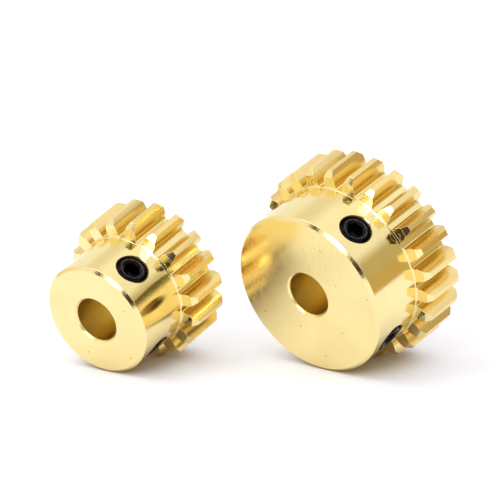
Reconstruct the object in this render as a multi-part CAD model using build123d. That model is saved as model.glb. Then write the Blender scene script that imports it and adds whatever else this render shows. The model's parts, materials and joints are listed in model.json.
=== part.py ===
"""A pair of brass spur pinions, 25 and 18 teeth, each with a hub and two set screws.

Every size is in millimetres.  A gear is first made in its own frame: the axis is Z, the
hub face lies in the plane Z = 0 and the teeth are at the far end.  Angles round the axis
are as seen on the hub face of a gear that lies on the floor: 0 points left, 90 up,
180 right and 270 straight down.

The gears lie loose on the floor, and tip forward until each one stands on the front edge
of its hub and on the tips of two teeth.
"""
from build123d import *
import math
import os

# ---- driving dimensions: teeth ---------------------------------------------
module = 1.0                    # pitch diameter for each tooth
pressure_angle = 20.0           # degrees
addendum_factor = 1.0           # tooth height above the pitch circle, in modules
dedendum_factor = 1.25          # tooth depth below the pitch circle, in modules
root_fillet_factor = 0.3        # rounding at the bottom of a tooth gap, in modules
face_width = 6.4                # length of the teeth along the axis
tip_chamfer = 0.65              # 45 degrees, on both ends of every tooth tip
large_teeth = 25
small_teeth = 18

# ---- driving dimensions: hub and bore --------------------------------------
hub_length = 8.0                # from the hub face to the front of the teeth
hub_step = 0.1                  # the hub is turned this far below the bottoms of the gaps
hub_chamfer = 0.4               # on the front edge of the hub
large_junction_chamfer = 0.2    # in the corner between the hub and the front of the teeth
small_junction_chamfer = 0.25
hob_run_out = 0.6               # the gaps are cut this far past the front of the teeth
bore_diameter = 6.0
bore_chamfer = 0.25

# ---- driving dimensions: set screws and their holes ------------------------
screw_diameter = 4.0            # thread size, drawn plain
screw_clearance = 0.05          # radial gap between a screw and its tapped hole
screw_station = 4.0             # from the hub face to the axes of the screws
large_screw_angles = (127.5, 217.5)     # round the gear, the upper and the lower screw
small_screw_angles = (125.0, 226.0)
large_screw_length = 6.0
small_screw_length = 4.0
screw_recess = 0.05             # from the top of the hub down to the outer end
screw_edge_chamfer = 0.3
screw_point_diameter = 2.0      # ring of the cup point that bites on the shaft
screw_cup_depth = 0.5
socket_width = 2.0              # hexagon, across the flats
socket_depth = 2.0
socket_mouth_diameter = 2.5     # chamfer round the mouth of the hexagon
socket_mouth_angle = 120.0      # included, degrees
countersink_diameter = 4.6      # mouth of the tapped hole, at the top of the hub
countersink_angle = 90.0        # included, degrees

# ---- driving dimensions: how the two gears lie -----------------------------
small_gear_aside = 21.4         # axis of the small gear to the left of the large one's
small_gear_ahead = 16.3         # hub face of the small gear in front of the large one's
small_gear_yaw = 3.2            # the axes aren't quite parallel, degrees

# ---- sizes that follow -----------------------------------------------------
bore_radius = bore_diameter / 2
screw_radius = screw_diameter / 2
total_length = hub_length + face_width
cut_margin = module / 2         # cutting tools stand this far out of the solid
flank_arcs = 2                  # arcs that follow the involute of one tooth flank


def pitch_radius(teeth):
    return module * teeth / 2


def tip_radius(teeth):
    return pitch_radius(teeth) + addendum_factor * module


def root_radius(teeth):
    return pitch_radius(teeth) - dedendum_factor * module


def base_radius(teeth):
    return pitch_radius(teeth) * math.cos(math.radians(pressure_angle))


def hub_radius(teeth):
    return root_radius(teeth) - hub_step


def polar(radius, angle):
    """The point at a radius, and at an angle in radians."""
    return (radius * math.cos(angle), radius * math.sin(angle))


def half_gap(teeth, radius):
    """Half the angle that a tooth gap spans at a radius, from the involute of the base circle."""
    def involute(angle):
        return math.tan(angle) - angle

    flank_angle = math.acos(min(1.0, base_radius(teeth) / radius))
    return math.pi / (2 * teeth) - involute(math.radians(pressure_angle)) + involute(flank_angle)


def half_tooth(teeth, radius):
    return math.pi / teeth - half_gap(teeth, radius)


def tooth_gap(teeth):
    """Outline of one tooth gap, about the X axis: two involute flanks and a rounded bottom."""
    root = root_radius(teeth)
    start = max(base_radius(teeth), root)
    end = tip_radius(teeth) + cut_margin
    steps = 2 * flank_arcs
    radii = [start + (end - start) * i / steps for i in range(steps + 1)]
    upper = [polar(radius, half_gap(teeth, radius)) for radius in radii]
    lower = [(x, -y) for x, y in upper]
    bottom_angle = half_gap(teeth, start)
    upper_corner, lower_corner = polar(root, bottom_angle), polar(root, -bottom_angle)

    edges = [ThreePointArc(upper_corner, (root, 0), lower_corner), Line(upper[-1], lower[-1])]
    for flank in (upper, lower):
        edges += [ThreePointArc(*flank[i:i + 3]) for i in range(0, steps, 2)]
    if start > root:
        edges += [Line(upper_corner, upper[0]), Line(lower_corner, lower[0])]
    outline = make_face(edges)
    corners = outline.vertices().sort_by_distance((root, 0))[:2]
    return fillet(corners, min(root_fillet_factor * module, 0.8 * root * bottom_angle))


def blank(teeth, junction):
    """The turned blank: hub, tooth rim and bore, with all the chamfers."""
    hub, tip = hub_radius(teeth), tip_radius(teeth)
    mouth = bore_radius + bore_chamfer
    corner = [(hub, hub_length)]
    if junction:
        corner = [(hub, hub_length - junction), (hub + junction, hub_length)]
    section = make_face(Polyline(
        (mouth, 0), (hub - hub_chamfer, 0), (hub, hub_chamfer), *corner,
        (tip - tip_chamfer, hub_length), (tip, hub_length + tip_chamfer),
        (tip, total_length - tip_chamfer), (tip - tip_chamfer, total_length),
        (mouth, total_length), (bore_radius, total_length - bore_chamfer),
        (bore_radius, bore_chamfer), close=True))
    return revolve(Plane.XZ * section, Axis.Z)


def toward(angle, station=0.0):
    """Place on a gear's axis, its Z axis pointing out along an angle round the gear."""
    outward = (*polar(1, math.radians(angle)), 0)
    return Plane(origin=(0, 0, station), x_dir=(0, 0, 1), z_dir=outward).location


def cone(lower_radius, upper_radius, height):
    return Cone(lower_radius, upper_radius, height, align=(Align.CENTER, Align.CENTER, Align.MIN))


def screw_hole(teeth, angle):
    """Tapped hole through the wall of the hub, drawn plain, with its countersunk mouth."""
    hole_radius = screw_radius + screw_clearance
    mouth_radius = countersink_diameter / 2
    slope = math.tan(math.radians(countersink_angle / 2))
    above = hub_radius(teeth) + cut_margin
    sink_bottom = hub_radius(teeth) - (mouth_radius - hole_radius) / slope
    drilled = Cylinder(hole_radius, above, align=(Align.CENTER, Align.CENTER, Align.MIN))
    sink = cone(hole_radius, mouth_radius + cut_margin * slope, above - sink_bottom)
    return toward(angle, screw_station) * (drilled + Pos(0, 0, sink_bottom) * sink)


def gear(teeth, junction, screw_angles):
    """One gear: the blank, less its tooth gaps, the first straight down, and its screw holes."""
    gap_start = hub_length - hob_run_out
    gap = Pos(0, 0, gap_start) * extrude(tooth_gap(teeth), total_length - gap_start + cut_margin)
    pitch = 360 / teeth
    gaps = [Rot(0, 0, 270 + i * pitch) * gap for i in range(teeth)]
    holes = [screw_hole(teeth, angle) for angle in screw_angles]
    return blank(teeth, junction) - gaps - holes


def set_screw(length):
    """Hexagon socket set screw, point at Z = 0 and outer end at Z = length, thread drawn plain."""
    point = screw_point_diameter / 2
    section = make_face(Polyline(
        (0, screw_cup_depth), (point, 0), (screw_radius, screw_radius - point),
        (screw_radius, length - screw_edge_chamfer),
        (screw_radius - screw_edge_chamfer, length), (0, length), close=True))
    body = revolve(Plane.XZ * section, Axis.Z)

    socket = extrude(RegularPolygon(socket_width / math.sqrt(3), 6), socket_depth + cut_margin)
    mouth_radius = socket_mouth_diameter / 2
    slope = math.tan(math.radians(socket_mouth_angle / 2))
    mouth_depth = mouth_radius / slope
    mouth = cone(0, mouth_radius + cut_margin * slope, mouth_depth + cut_margin)
    return body - [Pos(0, 0, length - socket_depth) * socket,
                   Pos(0, 0, length - mouth_depth) * mouth]


def lying(teeth, yaw=0.0, aside=0.0, ahead=0.0):
    """Place of a gear as it lies, on the front edge of its hub and on two tooth tips."""
    hub, tip = hub_radius(teeth), tip_radius(teeth)
    two_tips = tip * math.cos(math.pi / teeth - half_tooth(teeth, tip))
    tilt = math.atan2(two_tips - hub, hub_length + tip_chamfer - hub_chamfer)
    height = hub * math.cos(tilt) - hub_chamfer * math.sin(tilt)
    heading = math.radians(90 + yaw)
    axis = (*polar(math.cos(tilt), heading), math.sin(tilt))
    left = (*polar(1, heading + math.pi / 2), 0)
    return Plane(origin=(-aside, -ahead, height), x_dir=left, z_dir=axis).location


def dressed_gear(name, teeth, junction, screw_angles, screw_length, place):
    """One gear and its two set screws, by name, in place."""
    pieces = {name: place * gear(teeth, junction, screw_angles)}
    point_at = hub_radius(teeth) - screw_recess - screw_length
    for side, angle in zip(("upper", "lower"), screw_angles):
        seat = toward(angle, screw_station) * Pos(0, 0, point_at)
        pieces[f"{name}_{side}_set_screw"] = place * seat * set_screw(screw_length)
    return pieces


def report(name, teeth, screw_angles, screw_length, place, shift):
    """Print the bore, a point on each end face and the directions of the screws, in metres."""
    def show(what, location):
        frame = Plane(shift * place * location)
        spot = [round(value / 1000, 6) for value in frame.origin]
        print(name, what, spot, "direction", [round(value, 6) for value in frame.z_dir])

    on_face = (bore_radius + hub_radius(teeth)) / 2
    show("bore middle", Pos(0, 0, total_length / 2))
    show("hub face", Pos(0, on_face, 0) * Rot(180, 0, 0))
    show("back face", Pos(0, on_face, total_length))
    for angle in screw_angles:
        show(f"screw at {angle}", toward(angle, screw_station))
    travel = hub_radius(teeth) - screw_recess - screw_length - bore_radius
    print(name, "screw travel to the bore", round(travel, 3))


large = ("large_gear", large_teeth, large_junction_chamfer, large_screw_angles,
         large_screw_length, lying(large_teeth))
small = ("small_gear", small_teeth, small_junction_chamfer, small_screw_angles,
         small_screw_length,
         lying(small_teeth, small_gear_yaw, small_gear_aside, small_gear_ahead))

nodes = {**dressed_gear(*large), **dressed_gear(*small)}
box = Compound(list(nodes.values())).bounding_box()
to_origin = Pos(-box.center().X, -box.center().Y, -box.min.Z)

os.makedirs("parts", exist_ok=True)
for node, solid in nodes.items():
    export_step(to_origin * solid, f"parts/{node}.step")

print("size", [round(value, 3) for value in box.size])
for name, teeth, junction, screw_angles, screw_length, place in (large, small):
    report(name, teeth, screw_angles, screw_length, place, to_origin)
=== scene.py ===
"""Looks of the spur gear pair: polished brass gears, black set screws, a white studio.

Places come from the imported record: the bore of each gear gives its axis, and the screw
slides give the axes of the screws.  Lengths are in metres.
"""
import bpy
import json
import math
from mathutils import Matrix, Vector


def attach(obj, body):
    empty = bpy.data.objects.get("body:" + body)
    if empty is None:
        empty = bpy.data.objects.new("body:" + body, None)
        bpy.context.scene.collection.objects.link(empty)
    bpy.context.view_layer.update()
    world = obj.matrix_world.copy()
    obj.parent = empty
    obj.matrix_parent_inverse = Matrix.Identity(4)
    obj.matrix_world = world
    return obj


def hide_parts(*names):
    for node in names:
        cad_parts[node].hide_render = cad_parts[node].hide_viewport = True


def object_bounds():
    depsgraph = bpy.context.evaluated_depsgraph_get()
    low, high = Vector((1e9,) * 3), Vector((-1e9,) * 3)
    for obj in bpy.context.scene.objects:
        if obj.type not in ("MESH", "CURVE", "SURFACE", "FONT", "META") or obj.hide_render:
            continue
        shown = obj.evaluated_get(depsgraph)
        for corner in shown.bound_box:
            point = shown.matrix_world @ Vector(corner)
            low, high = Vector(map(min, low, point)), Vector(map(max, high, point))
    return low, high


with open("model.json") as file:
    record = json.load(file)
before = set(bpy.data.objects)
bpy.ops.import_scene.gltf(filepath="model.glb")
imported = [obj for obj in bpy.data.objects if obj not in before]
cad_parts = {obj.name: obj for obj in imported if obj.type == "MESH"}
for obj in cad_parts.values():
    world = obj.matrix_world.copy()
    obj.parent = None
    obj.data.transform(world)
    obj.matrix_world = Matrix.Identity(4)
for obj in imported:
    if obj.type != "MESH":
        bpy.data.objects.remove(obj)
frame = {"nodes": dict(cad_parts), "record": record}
CAD_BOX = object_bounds()
RECORD = frame["record"]
MM = 0.001

GEARS = ("large_gear", "small_gear")
SCREW_SIDES = ("upper", "lower")

HUB_LENGTH = 8.0 * MM
TOTAL_LENGTH = 14.4 * MM
HUB_CHAMFER = 0.4 * MM
BORE_RADIUS = 3.0 * MM
HUB_RADIUS = {"large_gear": 11.15 * MM, "small_gear": 7.65 * MM}
GAP_DEPTH = 1.3 * MM          # from the hub almost to the pitch circle

SCREW_STATION = 4.0 * MM      # from the hub face to the axes of the screws
SCREW_RADIUS = 2.0 * MM
HOLE_RADIUS = 2.05 * MM       # tapped hole
SINK_DEPTH = 0.6 * MM         # from the top of the hub down past the countersink


# ---- places from the record ---------------------------------------------------
def mount(name):
    return next(m for m in RECORD["mounts"] if m["name"] == name)


def gear_axis(gear):
    """Middle of the bore, and the direction from the hub face to the teeth."""
    bore = mount(gear.replace("_gear", "_bore"))
    return Vector(bore["pos_m"]), -Vector(bore["axis"])


def screw_axis(gear, side):
    """Point where a screw's axis meets the gear's axis, and the direction outwards."""
    name = gear.replace("_gear", f"_{side}_screw_travel")
    joint = next(j for j in RECORD["behaviour"]["joints"] if j["name"] == name)
    middle, axis = gear_axis(gear)
    return middle + axis * (SCREW_STATION - TOTAL_LENGTH / 2), Vector(joint["axis"])


# ---- a small kit for shader nodes ---------------------------------------------
class Nodes:
    """Adds nodes to one node tree; the methods below feed() give the output sockets."""

    def __init__(self, tree):
        self.tree = tree

    def add(self, kind, **settings):
        node = self.tree.nodes.new(kind)
        for name, value in settings.items():
            setattr(node, name, value)
        return node

    def feed(self, socket, value):
        """Link a socket, or set it to a plain value."""
        if isinstance(value, bpy.types.NodeSocket):
            self.tree.links.new(value, socket)
        elif value is not None:
            socket.default_value = value

    def math(self, operation, a, b=None, c=None):
        node = self.add("ShaderNodeMath", operation=operation)
        for socket, value in zip(node.inputs, (a, b, c)):
            self.feed(socket, value)
        return node.outputs[0]

    def product(self, first, *others):
        for other in others:
            first = self.math("MULTIPLY", first, other)
        return first

    def to_mm(self, length):
        return self.math("MULTIPLY", length, 1 / MM)

    def vector(self, operation, a, b=None, scale=None):
        node = self.add("ShaderNodeVectorMath", operation=operation)
        self.feed(node.inputs[0], a)
        self.feed(node.inputs[1], b)
        if scale is not None:
            self.feed(node.inputs["Scale"], scale)
        name = "Value" if operation in ("DOT_PRODUCT", "LENGTH") else "Vector"
        return node.outputs[name]

    def about(self, position, origin, axis):
        """Distance of a position along an axis, and its offset square to the axis."""
        offset = self.vector("SUBTRACT", position, tuple(origin))
        along = self.vector("DOT_PRODUCT", offset, tuple(axis))
        lengthwise = self.vector("SCALE", tuple(axis), scale=along)
        return along, self.vector("SUBTRACT", offset, lengthwise)

    def combine(self, x, y, z):
        node = self.add("ShaderNodeCombineXYZ")
        for socket, value in zip(node.inputs, (x, y, z)):
            self.feed(socket, value)
        return node.outputs[0]

    def separate(self, vector):
        node = self.add("ShaderNodeSeparateXYZ")
        self.feed(node.inputs[0], vector)
        return node.outputs

    def step(self, value, low, high, start=0.0, end=1.0):
        """Smooth step from start, where a value is low, to end, where it is high."""
        node = self.add("ShaderNodeMapRange", interpolation_type="SMOOTHSTEP")
        for socket, number in zip(node.inputs, (value, low, high, start, end)):
            self.feed(socket, number)
        return node.outputs[0]

    def fade(self, value, low, high):
        """1 where a value is below low, falling smoothly to 0 where it is above high."""
        return self.step(value, low, high, 1.0, 0.0)

    def window(self, value, low, high, soft):
        """1 where a value lies between low and high, falling softly to 0 outside."""
        rise = self.step(value, low - soft, low + soft)
        fall = self.fade(value, high - soft, high + soft)
        return self.product(rise, fall)

    def noise(self, vector, scale, detail=2.0, roughness=0.5):
        node = self.add("ShaderNodeTexNoise")
        self.feed(node.inputs["Vector"], vector)
        self.feed(node.inputs["Scale"], scale)
        self.feed(node.inputs["Detail"], detail)
        self.feed(node.inputs["Roughness"], roughness)
        return node.outputs["Fac"]

    def blend(self, factor, a, b):
        """Mix of two numbers."""
        node = self.add("ShaderNodeMix", data_type="FLOAT")
        for socket, value in zip(node.inputs, (factor, None, a, b)):
            self.feed(socket, value)
        return node.outputs[0]

    def mix(self, factor, a, b):
        """Mix of two colours."""
        node = self.add("ShaderNodeMix", data_type="RGBA")
        self.feed(node.inputs[0], factor)
        self.feed(node.inputs[6], a)
        self.feed(node.inputs[7], b)
        return node.outputs[2]


def new_material(name):
    material = bpy.data.materials.new(name)
    material.use_nodes = True
    nodes = Nodes(material.node_tree)
    shader = material.node_tree.nodes["Principled BSDF"]
    return material, nodes, shader


# ---- zones on a gear ----------------------------------------------------------
EDGE = 0.05 * MM                         # the soft borders are this wide, or a few times it

# Tilt is the cosine of the angle between a surface's normal and the gear's axis.
FACE_TILT = (0.90, 0.98)                 # past these on an end face
SIDE_TILT = (0.30, 0.50)                 # short of these on the sides of hub and teeth
CHAMFER_TILT = (-0.85, -0.55)            # between these on the chamfer of the hub face
CHAMFER_SOFTNESS = 0.05


class GearSurface:
    """Coordinates and zones on one gear, as shader sockets; a zone is 1 inside, 0 outside."""

    def __init__(self, n, gear):
        self.n = n
        self.add_coordinates(gear)
        self.add_zones(HUB_RADIUS[gear])
        self.add_screw_holes(gear)

    def add_coordinates(self, gear):
        """Places along, away from and round the axis, from the middle of the bore."""
        n = self.n
        middle, axis = gear_axis(gear)
        coordinates = n.add("ShaderNodeTexCoord")
        self.position = coordinates.outputs["Object"]
        self.along, radial = n.about(self.position, middle, axis)
        self.radius = n.vector("LENGTH", radial)
        side = axis.orthogonal().normalized()
        across = n.vector("DOT_PRODUCT", radial, tuple(side))
        upward = n.vector("DOT_PRODUCT", radial, tuple(axis.cross(side)))
        self.around = n.math("ARCTAN2", upward, across)
        self.tilt = n.vector("DOT_PRODUCT", coordinates.outputs["Normal"], tuple(axis))

    def add_zones(self, hub):
        n = self.n
        front = -TOTAL_LENGTH / 2
        teeth_start = front + HUB_LENGTH
        facing = n.math("ABSOLUTE", self.tilt)
        self.on_face = n.step(facing, *FACE_TILT)
        self.beyond_hub = n.step(self.radius, hub + 2 * EDGE, hub + 5 * EDGE)

        self.in_bore = n.fade(self.radius, BORE_RADIUS + EDGE, BORE_RADIUS + 2 * EDGE)
        near_bore = n.fade(self.radius, BORE_RADIUS + 4 * EDGE, BORE_RADIUS + 6 * EDGE)
        self.on_mouth = n.product(near_bore, n.math("SUBTRACT", 1.0, self.on_face))

        past_hub = n.step(self.along, teeth_start - 2 * EDGE, teeth_start + 2 * EDGE)
        self.on_teeth = n.product(self.beyond_hub, past_hub, n.fade(facing, *SIDE_TILT))
        self.in_gap = n.fade(self.radius, hub, hub + GAP_DEPTH)

        near_front = n.fade(self.along, front + HUB_CHAMFER - EDGE, front + HUB_CHAMFER)
        on_slope = n.window(self.tilt, *CHAMFER_TILT, CHAMFER_SOFTNESS)
        self.on_chamfer = n.product(near_front, on_slope)

    def add_screw_holes(self, gear):
        """The tapped holes with their countersinks, and the countersinks alone."""
        n = self.n
        sink_bottom = HUB_RADIUS[gear] - SINK_DEPTH
        self.in_hole, self.in_sink = 0.0, 0.0
        for screw_side in SCREW_SIDES:
            out, sideways = n.about(self.position, *screw_axis(gear, screw_side))
            distance = n.vector("LENGTH", sideways)
            near = n.fade(distance, HOLE_RADIUS + 2 * EDGE, HOLE_RADIUS + 4 * EDGE)
            here = n.product(near, n.math("GREATER_THAN", out, BORE_RADIUS))
            at_top = n.product(here, n.math("GREATER_THAN", out, sink_bottom))
            self.in_hole = n.math("MAXIMUM", self.in_hole, here)
            self.in_sink = n.math("MAXIMUM", self.in_sink, at_top)

    def face_axes(self, turn):
        """Two coordinates in mm, square to each other, in a plane across the gear."""
        n = self.n
        angle = n.math("ADD", self.around, math.radians(turn))
        along = n.product(self.radius, n.math("COSINE", angle))
        across = n.product(self.radius, n.math("SINE", angle))
        return n.to_mm(along), n.to_mm(across)


# ---- brass --------------------------------------------------------------------
POLISHED = (0.96, 0.80, 0.38, 1.0)       # hub and end faces
CUT = (0.92, 0.71, 0.30, 1.0)            # hobbed teeth
GAP_PAINTED_SHADE = (0.78, 0.59, 0.20, 1.0)            # bottoms of the tooth gaps, painted darker as shade in the hollows
REAMED = (0.83, 0.64, 0.20, 1.0)         # bore and screw holes
SINK_PAINTED_DARK = (0.10, 0.06, 0.025, 1.0)        # mouths of the screw holes, painted dark: painted reflection of the black screws and dark holes
PIT = (0.30, 0.19, 0.06, 1.0)

ROUGH_HUB = 0.12
ROUGH_FACE = 0.15
ROUGH_TOOTH_END = 0.07
ROUGH_CUT = 0.22
ROUGH_GAP = 0.32
ROUGH_BORE = 0.32
ROUGH_MOUTH = 0.30                       # chamfers of the bore
ROUGH_HOLE = 0.45

EDGE_ROUNDING = 0.06 * MM

PEEL_PER_MM = 0.7                        # slow waves left by the polish
PEEL_HEIGHT = 0.0035 * MM
RINGS_PER_MM = 9.0                       # turned rings, round the axis
RING_HEIGHT = 0.0010 * MM
GRAIN_PER_MM = 5.0
GRAIN_HEIGHT = 0.0010 * MM
HOB_MARKS_PER_MM = 7.0                   # marks of the hob, along the teeth
HOB_MARK_STRETCH = 20.0                  # times as long as they are wide
HOB_MARK_HEIGHT = 0.0008 * MM
GAP_MARK_HEIGHT = 0.0004 * MM            # the same marks in the gaps
CHATTER_PER_MM = 3.5                     # on the chamfer of the hub face
CHATTER_HEIGHT = 0.014 * MM
REAMING_PER_MM = 11.0                    # rings in the bore
REAMING_HEIGHT = 0.018 * MM

SCRATCH_TURNS = (25, 100)                # directions on the face, in degrees
SCRATCHES_PER_MM = 0.6
SCRATCH_STRETCH = 9.0
SCRATCH_LEVELS = (0.64, 0.68)            # of the noise; only its peaks are scratches
SCRATCH_DEPTH = 0.0080 * MM

PITS_PER_MM = 0.38
PIT_FREE = 0.70                          # share of the cells that have no pit
PIT_REACH = (0.02, 0.045)                # soft edge of a pit, in cells from its middle

SMUDGES_PER_MM = 0.17
SMUDGE_DARKENING = (0.35, 0.75, 1.0, 0.94)      # noise from, to; colour times from, to
SMUDGE_DULLING = (0.20, 0.80, 0.90, 1.15)       # the same for the roughness


def brass_scratches(n, at):
    """1 on the long, faint scratches of the end faces."""
    scratched = 0.0
    for turn in SCRATCH_TURNS:
        lengthwise, crosswise = at.face_axes(turn)
        place = n.combine(lengthwise, n.product(crosswise, SCRATCH_STRETCH), turn)
        lines = n.noise(place, SCRATCHES_PER_MM, detail=1.0)
        scratched = n.math("MAXIMUM", scratched, n.step(lines, *SCRATCH_LEVELS))
    return n.product(scratched, at.on_face)


def brass_relief(n, at):
    """Height of the tool marks on every surface of the gear."""
    along, radius = n.to_mm(at.along), n.to_mm(at.radius)
    arc = n.to_mm(n.product(at.around, at.radius))
    feed_position = n.blend(at.on_face, along, radius)
    lengthwise = n.math("DIVIDE", along, HOB_MARK_STRETCH)
    peel = n.noise(at.position, PEEL_PER_MM / MM)
    rings = n.noise(n.combine(feed_position, 0.0, 0.0), RINGS_PER_MM, detail=3.0, roughness=0.6)
    grain = n.noise(at.position, GRAIN_PER_MM / MM)
    hob_marks = n.noise(n.combine(arc, lengthwise, radius), HOB_MARKS_PER_MM)
    chatter = n.noise(n.combine(arc, feed_position, radius), CHATTER_PER_MM)
    reaming = n.noise(n.combine(along, 0.0, 0.0), REAMING_PER_MM)

    turned = n.product(peel, PEEL_HEIGHT)
    turned = n.math("MULTIPLY_ADD", rings, RING_HEIGHT, turned)
    turned = n.math("MULTIPLY_ADD", grain, GRAIN_HEIGHT, turned)
    turned = n.math("MULTIPLY_ADD", brass_scratches(n, at), -SCRATCH_DEPTH, turned)
    hobbed = n.product(hob_marks, n.blend(at.in_gap, HOB_MARK_HEIGHT, GAP_MARK_HEIGHT))
    relief = n.blend(at.on_teeth, turned, hobbed)
    relief = n.blend(at.on_chamfer, relief, n.product(chatter, CHATTER_HEIGHT))
    return n.blend(at.in_bore, relief, n.product(reaming, REAMING_HEIGHT))


def brass_colour(n, at):
    pits = n.add("ShaderNodeTexVoronoi", voronoi_dimensions="2D")
    n.feed(pits.inputs["Vector"], n.combine(*at.face_axes(0), 0.0))
    n.feed(pits.inputs["Scale"], PITS_PER_MM)
    rare = n.math("GREATER_THAN", n.separate(pits.outputs["Color"])[0], PIT_FREE)
    pitted = n.product(rare, n.fade(pits.outputs["Distance"], *PIT_REACH), at.on_face)
    colour = n.mix(pitted, POLISHED, PIT)
    # painted shade: the bottoms of the tooth gaps are coloured darker
    colour = n.mix(at.on_teeth, colour, n.mix(at.in_gap, CUT, GAP_PAINTED_SHADE))
    colour = n.mix(at.in_bore, colour, REAMED)
    colour = n.mix(at.in_hole, colour, REAMED)
    # painted reflection: the countersinks are coloured dark as if mirroring the black screws
    return n.mix(at.in_sink, colour, SINK_PAINTED_DARK)


def brass_roughness(n, at):
    end_face = n.blend(at.beyond_hub, ROUGH_FACE, ROUGH_TOOTH_END)
    roughness = n.blend(at.on_face, ROUGH_HUB, end_face)
    roughness = n.blend(at.on_teeth, roughness, n.blend(at.in_gap, ROUGH_CUT, ROUGH_GAP))
    roughness = n.blend(at.on_mouth, roughness, ROUGH_MOUTH)
    roughness = n.blend(at.in_bore, roughness, ROUGH_BORE)
    return n.blend(at.in_hole, roughness, ROUGH_HOLE)


def brass(gear):
    """Turned and polished brass, with hobbed teeth, a reamed bore and a chattered chamfer."""
    material, n, shader = new_material(f"{gear}_brass")
    at = GearSurface(n, gear)
    smudges = n.noise(at.position, SMUDGES_PER_MM / MM, detail=3.0)
    darkening = n.step(smudges, *SMUDGE_DARKENING)
    dulling = n.step(smudges, *SMUDGE_DULLING)
    rounded = n.add("ShaderNodeBevel", samples=6)
    n.feed(rounded.inputs["Radius"], EDGE_ROUNDING)
    bump = n.add("ShaderNodeBump")
    n.feed(bump.inputs["Distance"], 1.0)
    n.feed(bump.inputs["Height"], brass_relief(n, at))
    n.feed(bump.inputs["Normal"], rounded.outputs[0])
    n.feed(shader.inputs["Metallic"], 1.0)
    n.feed(shader.inputs["Base Color"], n.vector("SCALE", brass_colour(n, at), scale=darkening))
    n.feed(shader.inputs["Roughness"], n.product(brass_roughness(n, at), dulling))
    n.feed(shader.inputs["Normal"], bump.outputs[0])
    return material


# ---- set screws ---------------------------------------------------------------
THREAD_PITCH = 0.7 * MM
THREAD_DEPTH = 0.38 * MM
THREAD_CREST = 1 / 8                     # flat at the crest, in pitches
THREAD_ROOT = 1 / 4                      # flat at the root
SOCKET_APOTHEM = 1.0 * MM
SOCKET_DEPTH = 2.0 * MM
SOCKET_MOUTH = 1.43 * MM                 # radius of the chamfer round the mouth
SOCKET_SLOPE = math.tan(math.radians(30))       # of that chamfer, and of the bottom
RIM_RADIUS = 1.49 * MM                   # where the flat end meets the rounded rim
RIM_ROUNDING = 0.26 * MM
RIM_STEPS = (15, 35, 55, 75, 90)         # degrees round the rim
POINT_RADIUS = 1.0 * MM
CUP_DEPTH = 0.5 * MM
COLUMNS = 72                             # round the screw, a multiple of 6
ROW = 0.05 * MM                          # from ring to ring along the thread
SHARP_ANGLE = math.radians(28)

BLACK_OXIDE = (0.011, 0.010, 0.012, 1.0)
RUBBED = (0.12, 0.11, 0.12, 1.0)
RUB_EDGE = 0.04 * MM
RUB_DEPTH = 0.12 * MM                    # rubbed down to here, from the outer end
RUB_LEVELS = (0.25, 0.70)                # of the grain, from black to rubbed
OXIDE_GRAIN_PER_MM = 2.5
OXIDE_ROUGHNESS = (0.20, 0.80, 0.22, 0.34)      # grain from, to; roughness from, to


def black_steel():
    """Black oxide on steel, rubbed thin round the rim, in the screw's own frame."""
    material, n, shader = new_material("black_oxide_steel")
    position = n.add("ShaderNodeTexCoord").outputs["Object"]
    x, y, z = n.separate(position)
    radius = n.vector("LENGTH", n.combine(x, y, 0.0))
    on_rim = n.window(radius, SOCKET_MOUTH - RUB_EDGE, SOCKET_MOUTH + 2 * RUB_EDGE, RUB_EDGE)
    at_top = n.math("GREATER_THAN", z, -RUB_DEPTH)
    grain = n.noise(position, OXIDE_GRAIN_PER_MM / MM, detail=3.0)
    rubbed = n.product(on_rim, at_top, n.step(grain, *RUB_LEVELS))
    n.feed(shader.inputs["Metallic"], 1.0)
    n.feed(shader.inputs["Base Color"], n.mix(rubbed, BLACK_OXIDE, RUBBED))
    n.feed(shader.inputs["Roughness"], n.step(grain, *OXIDE_ROUGHNESS))
    return material


def thread_radius(angle, height):
    """Radius of a right-hand M4 thread: sharp flanks, with narrow flats at crest and root."""
    phase = (height / THREAD_PITCH - angle / (2 * math.pi)) % 1.0
    from_crest = min(phase, 1.0 - phase)
    flank = (1 - THREAD_CREST - THREAD_ROOT) / 2
    depth = min(max((from_crest - THREAD_CREST / 2) / flank, 0.0), 1.0)
    return SCREW_RADIUS - THREAD_DEPTH * depth


def socket_radius(angle):
    """Radius of the hexagon at an angle."""
    sixth = math.pi / 3
    return SOCKET_APOTHEM / math.cos((angle % sixth) - sixth / 2)


def screw_rings(length):
    """Rings of (radius, height) for each column, from the cup point to the socket's bottom.

    Height 0 is the outer end, and the point is at minus the length.  The thread stops at
    45 degree cones towards both ends.
    """
    angles = [2 * math.pi * i / COLUMNS for i in range(COLUMNS)]
    rings = [[(POINT_RADIUS, -length)] * COLUMNS]
    rows = int((length - RIM_ROUNDING) / ROW)
    for row in range(1, rows + 1):
        z = row * ROW - length
        cones = min(POINT_RADIUS + z + length, RIM_RADIUS + RIM_ROUNDING - z)
        rings.append([(min(thread_radius(angle, z), cones), z) for angle in angles])
    for lift in map(math.radians, RIM_STEPS):
        r = RIM_RADIUS + RIM_ROUNDING * math.cos(lift)
        rings.append([(r, -RIM_ROUNDING + RIM_ROUNDING * math.sin(lift))] * COLUMNS)
    rings.append([(SOCKET_MOUTH, 0.0)] * COLUMNS)
    hexagon = [socket_radius(angle) for angle in angles]
    rings.append([(r, (r - SOCKET_MOUTH) * SOCKET_SLOPE) for r in hexagon])
    rings.append([(r, -SOCKET_DEPTH) for r in hexagon])
    return angles, rings


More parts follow.
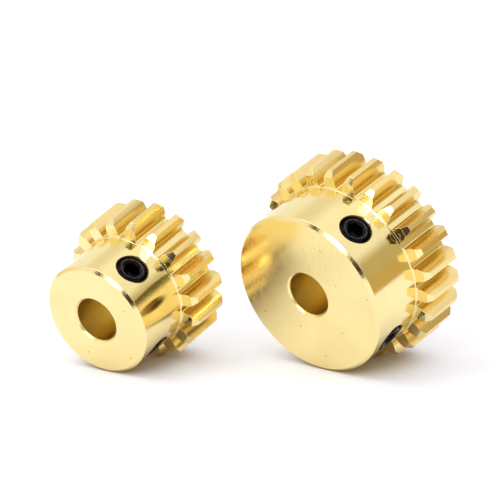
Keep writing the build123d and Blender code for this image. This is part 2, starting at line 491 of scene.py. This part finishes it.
def screw_mesh(name, length):
    angles, rings = screw_rings(length)
    vertices = []
    for ring in rings:
        vertices += [(r * math.cos(a), r * math.sin(a), z) for a, (r, z) in zip(angles, ring)]
    cup, bottom = len(vertices), len(vertices) + 1
    vertices.append((0, 0, CUP_DEPTH - length))
    vertices.append((0, 0, -SOCKET_DEPTH - SOCKET_APOTHEM * SOCKET_SLOPE))
    faces = []
    last = (len(rings) - 1) * COLUMNS
    for i in range(COLUMNS):
        j = (i + 1) % COLUMNS
        faces.append((cup, j, i))
        faces.append((last + i, last + j, bottom))
        for base in range(0, last, COLUMNS):
            faces.append((base + i, base + j, base + COLUMNS + j, base + COLUMNS + i))
    mesh = bpy.data.meshes.new(name)
    mesh.from_pydata(vertices, [], faces)
    mesh.shade_smooth()
    mesh.set_sharp_from_angle(angle=SHARP_ANGLE)
    return mesh


def add_threaded_screw(gear, side, material):
    """Set screw with its thread and socket, in place of the plain solid."""
    node = f"{gear}_{side}_set_screw"
    origin, outward = screw_axis(gear, side)
    heights = [(v.co - origin).dot(outward) for v in frame["nodes"][node].data.vertices]
    outer, inner = max(heights), min(heights)
    mesh = screw_mesh(f"{gear}_{side}_screw", outer - inner)
    mesh.materials.append(material)
    screw = bpy.data.objects.new(f"{gear}_{side}_screw", mesh)
    bpy.context.scene.collection.objects.link(screw)
    rotation = outward.to_track_quat("Z", "Y").to_matrix().to_4x4()
    screw.matrix_world = Matrix.Translation(origin + outward * outer) @ rotation
    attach(screw, node)
    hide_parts(node)


for gear in GEARS:
    piece = frame["nodes"][gear]
    piece.data.materials.clear()
    piece.data.materials.append(brass(gear))
steel = black_steel()
for gear in GEARS:
    for side in SCREW_SIDES:
        add_threaded_screw(gear, side, steel)


# ---- studio -------------------------------------------------------------------
# Directions in the studio are as seen by the camera: 0 is away from it, 90 to its right.
VIEW_AZIMUTH = 40.38          # the camera looks along +Y turned this far towards -X
VIEW_ELEVATION = 16.64        # and this far down
VIEW_ROLL = -0.94
CAMERA_DISTANCE = 0.888
CAMERA_CLIP = (0.05, 20.0)
SENSOR = 36.0                 # mm
LENS = 504.0
AIM_RIGHT = 0.19 * MM         # the frame's middle, from the middle of the pair
AIM_UP = 1.29 * MM
MIDDLE = (CAD_BOX[0] + CAD_BOX[1]) / 2

TABLE = 0.5                   # side of the square table
TABLE_AHEAD = 0.12            # its middle lies this far behind the pair
TABLE_WHITE = (0.69, 0.69, 0.75, 1.0)
TABLE_PAINTED_GOLD_SHADE = (0.62, 0.52, 0.36, 1.0)      # painted shade under the gears, warm as painted bounce light from the brass
SHADE_REACH = 12 * MM         # how far off the gears shade the table
GOLD_SHADE = (0.05, 0.40)     # share of open sky over the table, from the painted gold shade to white
GLOW = (0.96, 0.96, 1.0, 1.0)
CAMERA_GLOW = (0.10, 0.60, 0.0, 0.32)     # open sky from, to; glow that the camera sees
METAL_GLOW = (0.25, 0.65, 0.0, 0.35)      # and glow that the metal reflects

WHITE = (1.0, 1.0, 1.0, 1.0)


def direction(azimuth, elevation):
    """Unit vector towards a direction of the studio."""
    turn = math.radians(VIEW_AZIMUTH - azimuth)
    lift = math.radians(elevation)
    level = math.cos(lift)
    return Vector((-math.sin(turn) * level, math.cos(turn) * level, math.sin(lift)))


def add_camera():
    data = bpy.data.cameras.new("camera")
    data.sensor_width = SENSOR
    data.lens = LENS
    data.clip_start, data.clip_end = CAMERA_CLIP
    camera = bpy.data.objects.new("camera", data)
    bpy.context.scene.collection.objects.link(camera)
    forward = direction(0, -VIEW_ELEVATION)
    level = forward.to_track_quat("-Z", "Y").to_matrix()
    turned = level @ Matrix.Rotation(math.radians(VIEW_ROLL), 3, "Z")
    aim = MIDDLE + turned @ Vector((AIM_RIGHT, AIM_UP, 0))
    camera.matrix_world = Matrix.Translation(aim - forward * CAMERA_DISTANCE) @ turned.to_4x4()
    bpy.context.scene.camera = camera


def add_world(patches):
    """White to the camera; everything else sees a white room with darker and warmer patches.

    A patch is (azimuth from, to, elevation from, to, softness, colour), in studio degrees.
    """
    world = bpy.data.worlds.new("studio")
    bpy.context.scene.world = world
    world.use_nodes = True
    n = Nodes(world.node_tree)
    background = world.node_tree.nodes["Background"]
    towards = n.add("ShaderNodeTexCoord").outputs["Generated"]
    forward = n.vector("DOT_PRODUCT", towards, tuple(direction(0, 0)))
    sideways = n.vector("DOT_PRODUCT", towards, tuple(direction(90, 0)))
    upward = n.vector("DOT_PRODUCT", towards, (0, 0, 1))
    azimuth = n.math("DEGREES", n.math("ARCTAN2", sideways, forward))
    elevation = n.math("DEGREES", n.math("ARCSINE", upward))
    colour = WHITE
    for az_from, az_to, el_from, el_to, soft, shade in patches:
        across = n.window(azimuth, az_from, az_to, soft)
        amount = n.product(across, n.window(elevation, el_from, el_to, soft))
        colour = n.mix(amount, colour, (*shade, 1.0))
    seen = n.add("ShaderNodeLightPath").outputs["Is Camera Ray"]
    n.feed(background.inputs["Color"], n.mix(seen, colour, WHITE))


def table_white():
    """White that keeps the shadows, with painted gold shade under the gears, and glows where
    nothing shades it.
    """
    material, n, shader = new_material("table_white")
    path = n.add("ShaderNodeLightPath").outputs
    reflected = n.math("MAXIMUM", path["Is Glossy Ray"], path["Is Transmission Ray"])
    occlusion = n.add("ShaderNodeAmbientOcclusion", samples=8)
    n.feed(occlusion.inputs["Distance"], SHADE_REACH)
    open_sky = occlusion.outputs["AO"]
    for_camera = n.product(path["Is Camera Ray"], n.step(open_sky, *CAMERA_GLOW))
    for_metal = n.product(reflected, n.step(open_sky, *METAL_GLOW))
    # painted shade and bounce light: the table turns darker and gold where the gears shade it
    painted_gold_shade = n.fade(open_sky, *GOLD_SHADE)
    n.feed(shader.inputs["Base Color"], n.mix(painted_gold_shade, TABLE_WHITE, TABLE_PAINTED_GOLD_SHADE))
    n.feed(shader.inputs["Roughness"], 1.0)
    n.feed(shader.inputs["Specular IOR Level"], 0.0)
    n.feed(shader.inputs["Emission Color"], GLOW)
    n.feed(shader.inputs["Emission Strength"], n.math("ADD", for_camera, for_metal))
    return material


def add_table():
    mesh = bpy.data.meshes.new("table")
    half = TABLE / 2
    corners = [(-half, -half, 0), (half, -half, 0), (half, half, 0), (-half, half, 0)]
    mesh.from_pydata(corners, [], [(0, 1, 2, 3)])
    mesh.materials.append(table_white())
    table = bpy.data.objects.new("table", mesh)
    bpy.context.scene.collection.objects.link(table)
    table.rotation_euler.z = math.radians(VIEW_AZIMUTH)
    table.location = direction(0, 0) * TABLE_AHEAD


def add_softbox(name, azimuth, elevation, distance, width, height, radiance):
    """Area lamp that looks this bright in a mirror, on white being 1."""
    data = bpy.data.lights.new(name, "AREA")
    data.shape = "RECTANGLE"
    data.size, data.size_y = width, height
    data.energy = radiance * math.pi * width * height
    lamp = bpy.data.objects.new(name, data)
    bpy.context.scene.collection.objects.link(lamp)
    centre = MIDDLE + direction(azimuth, elevation) * distance
    rotation = (MIDDLE - centre).to_track_quat("-Z", "Y")
    lamp.matrix_world = Matrix.Translation(centre) @ rotation.to_matrix().to_4x4()
    lamp.visible_camera = False


add_camera()
add_world((
    (-10, 120, 60, 84, 7, (1.08, 1.08, 1.06)),       # softbox overhead
    (62, 126, -30, 34, 7, (0.56, 0.47, 0.29)),       # warm card on the right
    (62, 126, -30, 13, 8, (0.60, 0.44, 0.17)),       # its lower half
    (-35, 15, 37, 56, 6, (0.88, 0.83, 0.76)),        # back wall, above the table
    (-64, -38, -6, 12, 6, (0.74, 0.67, 0.58)),       # back corner on the left
    (-90, -50, -4, 20, 10, (0.98, 0.86, 0.64)),      # warm wall on the left
    (-131, -119, 27, 39, 2, (0.12, 0.10, 0.08)),     # edge of the key lamp's stand
    (168, 190, -5, 20, 3, (0.04, 0.03, 0.02)),       # dark room behind the camera
    (-190, -168, -7, 17, 3, (0.04, 0.03, 0.02)),     # and across the seam at 180 degrees
))
add_table()
add_softbox("left_softbox", azimuth=-105, elevation=60, distance=0.9,
            width=0.40, height=0.40, radiance=3.0)
add_softbox("key_softbox", azimuth=-153, elevation=25, distance=1.1,
            width=0.35, height=0.40, radiance=6.0)

bpy.context.scene.view_settings.view_transform = "Standard"
